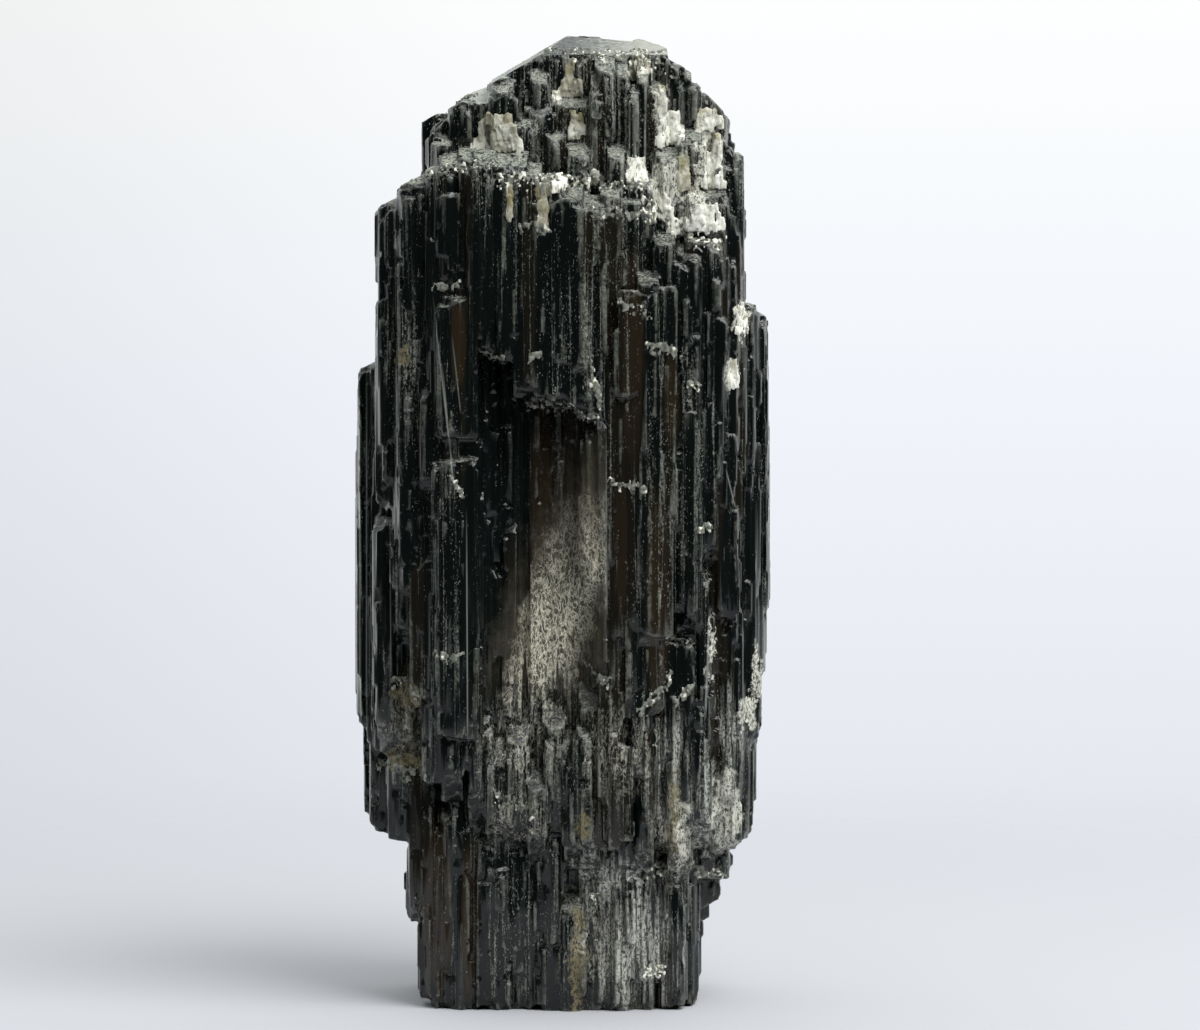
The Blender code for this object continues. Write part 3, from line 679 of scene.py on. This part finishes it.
khaki_here, white_here = (
    node(
        tree, "MapRange", {0: spots(tree, ragged, patches), 1: 0.12, 2: 0.42},
        interpolation_type="SMOOTHSTEP",
    )
    for patches in (KHAKI_PATCHES, WHITE_PATCHES)
)
for patch_here, patch_colour in ((khaki_here, "#7d7557"), (white_here, "#d8d8ca")):
    patch = all_of(tree, [patch_here, crumbly])
    coloured = node(
        tree, "Mix", {0: patch, 6: coloured, 7: linear(patch_colour)}, 2, data_type="RGBA"
    )

# The film in the hollow: smoky brown above, then silky beige in a slanting band with a ragged foot.
on_front = node(tree, "MapRange", {0: y_in, 1: -3.0, 2: -3.6})
left_of_step = node(tree, "MapRange", {0: x_in, 1: 1.96, 2: 1.90})
smoke = all_of(tree, [
    past_line(tree, loose_x, loose_z, (-0.9, 24.0), (0.94, -0.34), 1.6),
    past_line(tree, loose_x, loose_z, (0, 26.9), (0, -1), 4.0),
    past_line(tree, loose_x, loose_z, (0, 13.5), (0, 1), 3.0),
    on_front, left_of_step, 0.9,
])
silk = all_of(tree, [
    past_line(tree, loose_x, loose_z, (-0.9, 21.6), (0.966, -0.26), 0.8),
    past_line(tree, loose_x, loose_z, (2.2, 19.0), (-0.939, 0.343), 1.1),
    past_line(tree, loose_x, loose_z, (0, 23.6), (0, -1), 5.5),
    past_line(tree, loose_x, loose_z, (0, 11.8), (0, 1), 3.2),
    on_front, left_of_step,
])
# It is matted from hairs, which lean as the band does. They are really a few hundredths of a millimetre
# thick, and are drawn about twice that to show: each is a line where a noise crosses its middle.
FILM_LEAN = -14  # degrees
THREADS = 7.0  # to a mm
HAIRS = ((2.9, 0.0), (3.8, 31.0), (4.7, 67.0))  # how many loops to a mm, and how far off each noise is read
film_turn = (0, math.radians(FILM_LEAN), 0)
film_along = node(tree, "Mapping", {"Vector": mm, "Scale": (1, 1, 0.5), "Rotation": film_turn})
threads = node(
    tree, "TexNoise",
    {"Vector": film_along, "Scale": THREADS, "Detail": 5.0, "Roughness": 0.7, "Distortion": 3.5},
)
hair = 0.0
for loops, offset in HAIRS:
    moved = node(tree, "Mapping", {"Vector": film_along, "Location": (offset, 0, 0)})
    field = node(
        tree, "TexNoise", {"Vector": moved, "Scale": loops, "Detail": 1.0, "Roughness": 0.4}
    )
    from_hair = node(tree, "Math", {0: field, 1: 0.5}, operation="SUBTRACT")
    from_hair = node(tree, "Math", {0: from_hair}, operation="ABSOLUTE")
    one_hair = node(tree, "MapRange", {0: from_hair, 1: 0.055, 2: 0.008})
    hair = node(tree, "Math", {0: hair, 1: one_hair}, operation="MAXIMUM")
thread_tone = node(tree, "MapRange", {0: threads, 1: 0.42, 2: 0.62, 4: 0.30})
thread_tone = node(
    tree, "Math", {0: hair, 1: 0.72, 2: thread_tone}, operation="MULTIPLY_ADD", use_clamp=True
)
silk_colour = node(
    tree, "Mix", {0: thread_tone, 6: linear("#1f1d16"), 7: linear("#fffae2")}, 2, data_type="RGBA"
)
smoky_tone = node(tree, "MapRange", {0: threads, 1: 0.40, 2: 0.66})
smoke_colour = node(
    tree, "Mix", {0: smoky_tone, 6: linear("#2f2b20"), 7: linear("#5a5341")}, 2, data_type="RGBA"
)
foot_streaks = node(tree, "Math", {0: z_in, 1: 0.12, 2: hairlines}, operation="MULTIPLY_ADD")
foot_there = node(tree, "MapRange", {0: foot_streaks, 1: 2.14, 2: 2.24})
silk_there = node(tree, "MapRange", {0: threads, 1: 0.41, 2: 0.5, 3: 0.15, 4: 1.0})
silk = all_of(tree, [silk, silk_there, foot_there])
coloured = node(tree, "Mix", {0: smoke, 6: coloured, 7: smoke_colour}, 2, data_type="RGBA")
coloured = node(tree, "Mix", {0: silk, 6: coloured, 7: silk_colour}, 2, data_type="RGBA")

# Shreds of the same film, caught on the broken ledges below the hollow.
SHRED_ZONES = (
    (-1.6, -5.5, 12.4, 2.6, 4.0, 2.6),
    (2.4, -5.5, 11.6, 2.4, 4.0, 2.6),
    (-2.0, -5.5, 8.6, 1.8, 4.0, 1.8),
    (4.8, -5.5, 8.0, 1.7, 4.0, 3.0),
    (-7.2, -4.5, 12.6, 1.3, 3.0, 1.8),
    (1.6, -5.5, 3.2, 1.4, 3.0, 2.6),
)
shreds_here = node(tree, "MapRange", {0: spots(tree, ragged, SHRED_ZONES), 1: 0.10, 2: 0.55})
shredded = node(tree, "MapRange", {0: streaks, 1: 0.38, 2: 0.60})
shreds = all_of(tree, [shreds_here, shredded, hair, dotted, 0.75])
coloured = node(tree, "Mix", {0: shreds, 6: coloured, 7: linear("#c9c6b6")}, 2, data_type="RGBA")

# Painted highlights on long straight edges: start and end in mm across and up, width, strength.
PAINTED_EDGE_HIGHLIGHTS = (
    ((-5.77, 32.2), (-4.85, 24.0), 0.09, 0.5),
    ((-5.35, 29.2), (-4.86, 23.8), 0.12, 0.6),
    ((-4.9, 30.4), (-4.5, 26.8), 0.09, 0.35),
    ((-4.26, 22.7), (-4.22, 12.0), 0.09, 0.6),
    ((-7.75, 23.0), (-7.7, 14.9), 0.08, 0.4),
    ((1.93, 26.5), (1.97, 17.6), 0.09, 0.45),
    ((6.55, 18.3), (6.35, 13.2), 0.14, 0.85),
    ((7.25, 24.4), (7.7, 22.6), 0.09, 0.6),
    ((-9.2, 30.0), (-9.2, 14.0), 0.13, 0.8),
    ((-8.85, 30.0), (-8.9, 12.0), 0.10, 0.6),
)
# Each painted highlight is mixed into the base colour as a pale stroke.
for start, end, width, strength in PAINTED_EDGE_HIGHLIGHTS:
    drawn = all_of(tree, [stroke(tree, x_in, z_in, start, end, width), strength])
    coloured = node(tree, "Mix", {0: drawn, 6: coloured, 7: linear("#b3b8b1")}, 2, data_type="RGBA")
tree.links.new(coloured, shader.inputs["Base Color"])

# Gloss: the bare faces are glassy, and everything that lies on them is matt.
matt = any_of(tree, [dust_and_painted_light, silk, smoke, shreds, white_here, khaki_here])
gloss = node(tree, "MapRange", {0: streaks, 1: 0.3, 2: 0.7, 3: 0.10, 4: 0.24})
roughness = node(tree, "Math", {0: matt, 1: 0.45, 2: gloss}, operation="MULTIPLY_ADD")
tree.links.new(roughness, shader.inputs["Roughness"])
RIB_BUMP, GRAIN_BUMP = 0.04 * MM, 0.05 * MM
rib_bump = node(tree, "Bump", {"Height": fine_ribs, "Strength": 0.4, "Distance": RIB_BUMP})
grain_height = node(tree, "Math", {0: dust_and_painted_light, 1: 0.12}, operation="ADD")
grain_height = all_of(tree, [grain_height, grains])
grain_bump = node(
    tree, "Bump",
    {"Height": grain_height, "Normal": rib_bump, "Strength": 0.6, "Distance": GRAIN_BUMP},
)
tree.links.new(grain_bump, shader.inputs["Normal"])
crystal.data.materials.append(tourmaline)

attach(crystal, "root")
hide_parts("tourmaline_crystal")

# ---------------------------------------------------------------------------------------------
# The fillings: altered white mica and pale clay, crumbly and matt, that settled on the head's ledges
# and in its pockets while the crystal grew, and in thin fringes along the ends of columns. Each is
# a sheaf of small flakes stuck to the wall behind it, and the flakes are one skin.
# ---------------------------------------------------------------------------------------------

FILLINGS = (
    # least and most x, least and most z, in mm, and how white, from khaki 0 to white 1
    (-4.1, -1.75, 38.6, 40.0, 0.62),
    (-0.25, 0.98, 41.05, 41.65, 0.42),
    (0.1, 0.6, 41.6, 42.7, 0.38),
    (-0.5, -0.05, 40.6, 41.15, 0.8),
    (0.2, 1.0, 39.2, 40.1, 0.5),
    (1.1, 1.8, 36.95, 37.6, 1.0),
    (-0.5, 0.3, 36.8, 37.35, 0.95),
    (2.75, 3.8, 37.1, 38.15, 0.95),
    (4.15, 5.5, 38.9, 40.2, 1.0),
    (4.2, 4.6, 40.2, 41.4, 0.6),
    (5.8, 7.2, 39.6, 40.25, 0.7),
    (6.2, 7.2, 36.95, 38.3, 1.0),
    (6.7, 7.1, 38.3, 39.3, 0.6),
    (3.9, 4.9, 35.5, 36.6, 0.9),
    (4.6, 5.8, 34.75, 35.4, 0.95),
    (5.6, 7.2, 35.0, 36.0, 1.0),
    (5.1, 5.7, 36.9, 38.4, 0.35),
    (2.9, 4.0, 41.9, 42.7, 0.55),
    (-1.1, -0.6, 35.2, 36.0, 0.36),
    (-1.0, -0.75, 36.0, 37.1, 0.2),
    (-2.45, -2.2, 35.4, 37.2, 0.34),
    (7.7, 8.3, 30.4, 31.5, 0.85),
    (7.3, 7.85, 28.0, 29.0, 0.8),
)
FRINGES = (
    # from x and z to x and z, in mm, how thick, and what share of the crumbs is white
    ((-1.7, 27.5), (0.1, 27.2), 0.26, 0.12),
    ((0.1, 27.3), (1.6, 26.5), 0.26, 0.12),
    ((-3.5, 29.6), (-2.6, 29.2), 0.16, 0.05),
    ((-1.5, 29.5), (-0.9, 29.4), 0.16, 0.05),
    ((1.2, 29.2), (1.7, 27.4), 0.30, 0.12),
    ((2.4, 31.9), (3.9, 31.3), 0.18, 0.12),
    ((3.7, 30.0), (5.3, 29.6), 0.22, 0.12),
    ((5.4, 28.3), (6.1, 28.0), 0.16, 0.12),
    ((-5.7, 32.4), (-4.5, 32.7), 0.14, 0.05),
    ((2.1, 23.9), (3.7, 23.6), 0.20, 0.12),
    ((-5.7, 16.2), (-4.4, 16.1), 0.20, 0.05),
    ((-8.4, 11.1), (-6.1, 10.6), 0.26, 0.05),
    ((-7.7, 15.0), (-6.1, 14.4), 0.24, 0.05),
    ((3.4, 6.3), (5.2, 6.7), 0.34, 0.12),
    ((5.2, 6.7), (7.3, 5.9), 0.26, 0.12),
    ((0.0, 5.4), (1.9, 5.1), 0.24, 0.12),
    ((3.7, 2.0), (4.6, 1.8), 0.22, 0.6),
    ((-3.1, 10.0), (-1.2, 9.0), 0.28, 0.12),
    ((-1.95, 35.3), (-0.55, 35.05), 0.16, 0.12),
    ((-2.9, 37.4), (3.6, 37.0), 0.30, 0.3),
    ((-6.8, 37.4), (-3.2, 38.1), 0.18, 0.12),
    ((1.0, 36.0), (4.0, 35.6), 0.24, 0.15),
    ((3.5, 36.6), (5.7, 34.7), 0.28, 0.6),
    ((5.6, 34.5), (7.2, 34.5), 0.24, 0.6),
    ((-5.9, 40.2), (-3.9, 41.3), 0.14, 0.12),
    ((6.0, 21.6), (6.7, 21.9), 0.16, 0.3),
    ((5.0, 14.0), (5.9, 14.9), 0.20, 0.12),
    ((-4.9, 24.0), (-4.4, 23.4), 0.20, 0.12),
    ((1.0, 15.5), (2.2, 14.9), 0.26, 0.05),
    ((3.3, 13.6), (4.9, 15.2), 0.26, 0.05),
    ((-0.9, 43.1), (4.6, 42.95), 0.26, 0.15),
    ((1.4, 42.75), (4.6, 42.4), 0.30, 0.3),
)
FLAKE_WIDTHS = (0.04, 0.13)  # mm, half across
FLAKE_HEIGHTS = (0.08, 0.36)  # mm, half as tall
FLAKES_PER_MM2 = 80
FEWEST_FLAKES = 8
FLAKE_THICKNESSES = (0.5, 1.0)  # of its width
CORNERS = (0.65, 1.1)  # how far out of true a corner may be
SUNK = (0.1, 0.8)  # how much of a flake's thickness stands off the wall
NARROWING = 0.45  # a filling is narrower by this share at its top
GREYING = 0.3  # and less white by this much
CRUMB_SIZES = (0.026, 0.06)  # mm, half across
CRUMBS_PER_MM = 46
WHITE_CRUMB, DULL_CRUMBS = 0.9, (-0.3, 0.1)
FILLINGS_STEP = 0.04  # mm between points of the remeshed fillings
FILLINGS_TRIANGLES = 170_000
wall = feeler(crystal)
rng = random.Random(5)
heap = bmesh.new()
flake_tones = []


def flake(x, z, half_width, half_height, whiteness, rng):
    """One small blunt flake, stuck to the wall at a place, with its corners a little out of true."""
    found = wall.ray_cast(Vector((x, -FAR_OUT, z)) * MM, Vector((0, 1, 0)))
    if found[0] is None:
        return
    half_depth = half_width * rng.uniform(*FLAKE_THICKNESSES) + FILLINGS_STEP
    centre = Vector((x, found[0].y / MM + half_depth * rng.uniform(*SUNK), z))
    made = bmesh.ops.create_cube(heap, size=2)
    for vert in made["verts"]:
        spread = Vector((half_width, half_depth, half_height)) * rng.uniform(*CORNERS)
        vert.co = centre + Vector(a * b for a, b in zip(vert.co, spread))
    flake_tones.append((centre, whiteness))


for left, right, bottom, top, whiteness in FILLINGS:
    for _ in range(max(FEWEST_FLAKES, int((right - left) * (top - bottom) * FLAKES_PER_MM2))):
        rise = rng.random() ** 1.3
        half = (right - left) / 2 * (1 - NARROWING * rise)
        flake(
            (left + right) / 2 + rng.uniform(-half, half), bottom + rise * (top - bottom),
            between(FLAKE_WIDTHS, rng.random()), between(FLAKE_HEIGHTS, rng.random()),
            whiteness - GREYING * rise**2, rng,
        )
for start, end, thick, white_share in FRINGES:
    length = math.dist(start, end)
    for _ in range(int(length * CRUMBS_PER_MM)):
        share = rng.random()
        size = between(CRUMB_SIZES, rng.random())
        wave = 0.10 * math.sin(share * length * 5 + start[0])
        hangs = thick * (0.3 - rng.random() ** 2 * 2.2)
        crumb_tone = WHITE_CRUMB if rng.random() < white_share else rng.uniform(*DULL_CRUMBS)
        flake(
            start[0] + share * (end[0] - start[0]) + rng.gauss(0, 0.06),
            start[1] + share * (end[1] - start[1]) + wave + hangs,
            size, size * rng.uniform(0.8, 2.4), crumb_tone, rng,
        )
heap_mesh = bpy.data.meshes.new("pocket_fillings")
heap.to_mesh(heap_mesh)
heap.free()
fillings = bpy.data.objects.new("pocket_fillings", heap_mesh)
bpy.context.scene.collection.objects.link(fillings)
remesh = fillings.modifiers.new("skin", "REMESH")
remesh.mode = "VOXEL"
remesh.voxel_size = FILLINGS_STEP
finish_modifiers(fillings)
thin = fillings.modifiers.new("fewer triangles", "DECIMATE")
thin.ratio = FILLINGS_TRIANGLES / (2 * len(fillings.data.polygons))
finish_modifiers(fillings)
points = read(fillings.data.vertices, "co", 3)
normals = read(fillings.data.vertices, "normal", 3)
crumbs = 0.04 * rough(points, (3.0, 3.0, 1.6)) + 0.03 * rough(points + 9, (8.0, 8.0, 4.0))
points += normals * crumbs[:, None]
points = np.clip(points, np.array(low), np.array(high))
fillings.data.vertices.foreach_set("co", (points * MM).astype(np.float32).ravel())
near = KDTree(len(flake_tones))
for index, (centre, _) in enumerate(flake_tones):
    near.insert(centre, index)
near.balance()
tones = [flake_tones[near.find(point)[1]][1] for point in points.tolist()]
marks = fillings.data.attributes.new("whiteness", "FLOAT", "POINT")
marks.data.foreach_set("value", np.array(tones, np.float32))
fillings.data.shade_smooth()
fillings.data.set_sharp_from_angle(angle=math.radians(35))

# Altered mica, crumbly and dull as chalk: white where it is fresh, khaki where iron has stained it, and
# grey where crumbs of it are mixed with tourmaline dust. The crumbs are 0.1 mm, drawn out upright.
CRUMBS, STAINS = 8.0, 1.6  # to a mm
CRUMB_BUMP = 0.06 * MM
crumbly_mica = bpy.data.materials.new("altered_mica")
crumbly_mica.use_nodes = True
tree = crumbly_mica.node_tree
shader = tree.nodes["Principled BSDF"]
shader.inputs["Roughness"].default_value = 0.75
place = node(tree, "TexCoord", {}, "Object")
mm = node(tree, "Mapping", {"Vector": place, "Scale": (PER_MM, PER_MM, PER_MM)})
crumb_along = node(tree, "Mapping", {"Vector": mm, "Scale": (1, 1, 0.4)})
whiteness = node(tree, "Attribute", {}, "Fac", attribute_name="whiteness")
patches = node(tree, "TexNoise", {"Vector": mm, "Scale": STAINS, "Detail": 3.0, "Roughness": 0.6})
crumb = node(
    tree, "TexNoise", {"Vector": crumb_along, "Scale": CRUMBS, "Detail": 4.0, "Roughness": 0.75}
)
stained = node(tree, "Math", {0: patches, 1: 1.2, 2: whiteness}, operation="MULTIPLY_ADD")
clean = node(tree, "MapRange", {0: stained, 1: 0.75, 2: 1.4})
colour = node(
    tree, "Mix", {0: clean, 6: linear("#8c8562"), 7: linear("#fafaee")}, 2, data_type="RGBA"
)
dull = node(tree, "MapRange", {0: whiteness, 1: 0.2, 2: 0.05})
dull_tone = node(tree, "MapRange", {0: whiteness, 1: DULL_CRUMBS[0], 2: DULL_CRUMBS[1]})
dull_colour = node(
    tree, "Mix", {0: dull_tone, 6: linear("#50534b"), 7: linear("#9da095")}, 2, data_type="RGBA"
)
colour = node(tree, "Mix", {0: dull, 6: colour, 7: dull_colour}, 2, data_type="RGBA")
dirt = node(tree, "MapRange", {0: crumb, 1: 0.45, 2: 0.33, 4: 0.8})
colour = node(tree, "Mix", {0: dirt, 6: colour, 7: linear("#3a3b32")}, 2, data_type="RGBA")
tree.links.new(colour, shader.inputs["Base Color"])
crumb_bump = node(tree, "Bump", {"Height": crumb, "Strength": 0.6, "Distance": CRUMB_BUMP})
tree.links.new(crumb_bump, shader.inputs["Normal"])
fillings.data.materials.append(crumbly_mica)
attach(fillings, "root")

# ---------------------------------------------------------------------------------------------
# The stage: a pale paper floor that fades into a pale backdrop, soft light from behind, both sides,
# above and a softbox, and the camera, which looks slightly down at the crystal's broad face.
# ---------------------------------------------------------------------------------------------

FLOOR_RADIUS = 0.16
FLOOR_FADES = (0.025, 0.11)  # metres from the middle, from where it is whole to where it is gone
bm = bmesh.new()
bmesh.ops.create_circle(bm, cap_ends=True, segments=96, radius=FLOOR_RADIUS)
floor_mesh = bpy.data.meshes.new("floor")
bm.to_mesh(floor_mesh)
bm.free()
floor = bpy.data.objects.new("floor", floor_mesh)
bpy.context.scene.collection.objects.link(floor)
paper = bpy.data.materials.new("pale_paper")
paper.use_nodes = True
tree = paper.node_tree
shader = tree.nodes["Principled BSDF"]
shader.inputs["Base Color"].default_value = linear("#b8b9be")
shader.inputs["Roughness"].default_value = 0.9
place = node(tree, "TexCoord", {}, "Object")
spread = node(tree, "VectorMath", {0: place}, "Value", operation="LENGTH")
fade = node(
    tree, "MapRange", {0: spread, 1: FLOOR_FADES[0], 2: FLOOR_FADES[1], 3: 1.0, 4: 0.0},
    interpolation_type="SMOOTHSTEP",
)
clear = node(tree, "BsdfTransparent", {})
blend = node(tree, "MixShader", {0: fade, 1: clear, 2: shader.outputs["BSDF"]})
tree.links.new(blend, tree.nodes["Material Output"].inputs["Surface"])
floor.data.materials.append(paper)

world = bpy.data.worlds.new("studio")
world.use_nodes = True
bpy.context.scene.world = world
tree = world.node_tree
tree.nodes.clear()
direction = node(tree, "TexCoord", {}, "Generated")
x_way = node(tree, "SeparateXYZ", {0: direction}, "X")
y_way = node(tree, "SeparateXYZ", {0: direction}, "Y")
z_way = node(tree, "SeparateXYZ", {0: direction}, "Z")

# What the camera sees behind the crystal: pale paper, greyer low down and to the left.
height = node(tree, "MapRange", {0: z_way, 1: -0.16, 2: 0.05})
backdrop = node(tree, "ValToRGB", {0: height})
colours = backdrop.node.color_ramp.elements
colours[0].color = linear("#dcdfe6")
colours[1].color = linear("#ffffff")
for position, colour in ((0.29, "#e6e9f0"), (0.62, "#f1f4fa"), (0.80, "#f7fafd")):
    colours.new(position).color = linear(colour)
falls_off = node(
    tree, "MapRange", {0: x_way, 1: -0.15, 2: 0.01, 3: 0.87, 4: 1.0},
    interpolation_type="SMOOTHSTEP",
)
paper_seen = node(tree, "VectorMath", {0: backdrop, "Scale": falls_off}, operation="SCALE")

# What lights it: white paper behind, brighter to both sides, a white ceiling, and a dark room in front.
lights_around = (
    # which way, from where to where along it, and how strong the light is at both
    (y_way, -0.25, 0.8, 0.035, 1.2),
    (z_way, 0.5, 0.9, 0.0, 1.3),
    (x_way, -0.55, -0.85, 1.0, 1.9),
    (x_way, 0.55, 0.85, 1.0, 1.4),
)
behind, above, left_strip, right_strip = (
    node(
        tree, "MapRange", {0: way, 1: start, 2: end, 3: least, 4: most},
        interpolation_type="SMOOTHSTEP",
    )
    for way, start, end, least, most in lights_around
)
around = any_of(tree, [all_of(tree, [behind, left_strip, right_strip]), above])
room = node(tree, "VectorMath", {0: (0.93, 0.97, 0.965), "Scale": around}, operation="SCALE")
seen = node(tree, "LightPath", {}, "Is Camera Ray")
mixed = node(tree, "Mix", {0: seen, 6: room, 7: paper_seen}, 2, data_type="RGBA")
glow = node(tree, "Background", {"Color": mixed})
out = tree.nodes.new("ShaderNodeOutputWorld")
tree.links.new(glow, out.inputs["Surface"])

# A square softbox high at the front right. Places and sizes are in millimetres.
SOFTBOX_PLACE, SOFTBOX_AIM = Vector((140, -130, 260)), Vector((0, 0, 25))
SOFTBOX_SIZE, SOFTBOX_POWER = 220, 1.05
lamp = bpy.data.lights.new("key_light", "AREA")
lamp.size = SOFTBOX_SIZE * MM
lamp.energy = SOFTBOX_POWER
light = bpy.data.objects.new("key_light", lamp)
light.location = SOFTBOX_PLACE * MM
light.rotation_euler = (SOFTBOX_AIM - SOFTBOX_PLACE).to_track_quat("-Z", "Y").to_euler()
bpy.context.scene.collection.objects.link(light)

CAMERA_DISTANCE = 240.0
CAMERA_HEIGHT_ANGLE = 3.0
CAMERA_AIM = (1.66, 0.0, 22.0)
FRAME_WIDTH = 1200 / 21.93  # mm seen across at the aim
SENSOR_WIDTH = 36.0
camera_data = bpy.data.cameras.new("camera")
camera_data.sensor_width = SENSOR_WIDTH
camera_data.lens = SENSOR_WIDTH * CAMERA_DISTANCE / FRAME_WIDTH
camera_data.clip_start = 0.01
camera = bpy.data.objects.new("camera", camera_data)
tilt = math.radians(CAMERA_HEIGHT_ANGLE)
back_off = Vector((0, -math.cos(tilt), math.sin(tilt))) * CAMERA_DISTANCE
camera.location = (Vector(CAMERA_AIM) + back_off) * MM
camera.rotation_euler = (math.pi / 2 - tilt, 0, 0)
bpy.context.scene.collection.objects.link(camera)
bpy.context.scene.camera = camera
bpy.context.scene.view_settings.view_transform = "Standard"
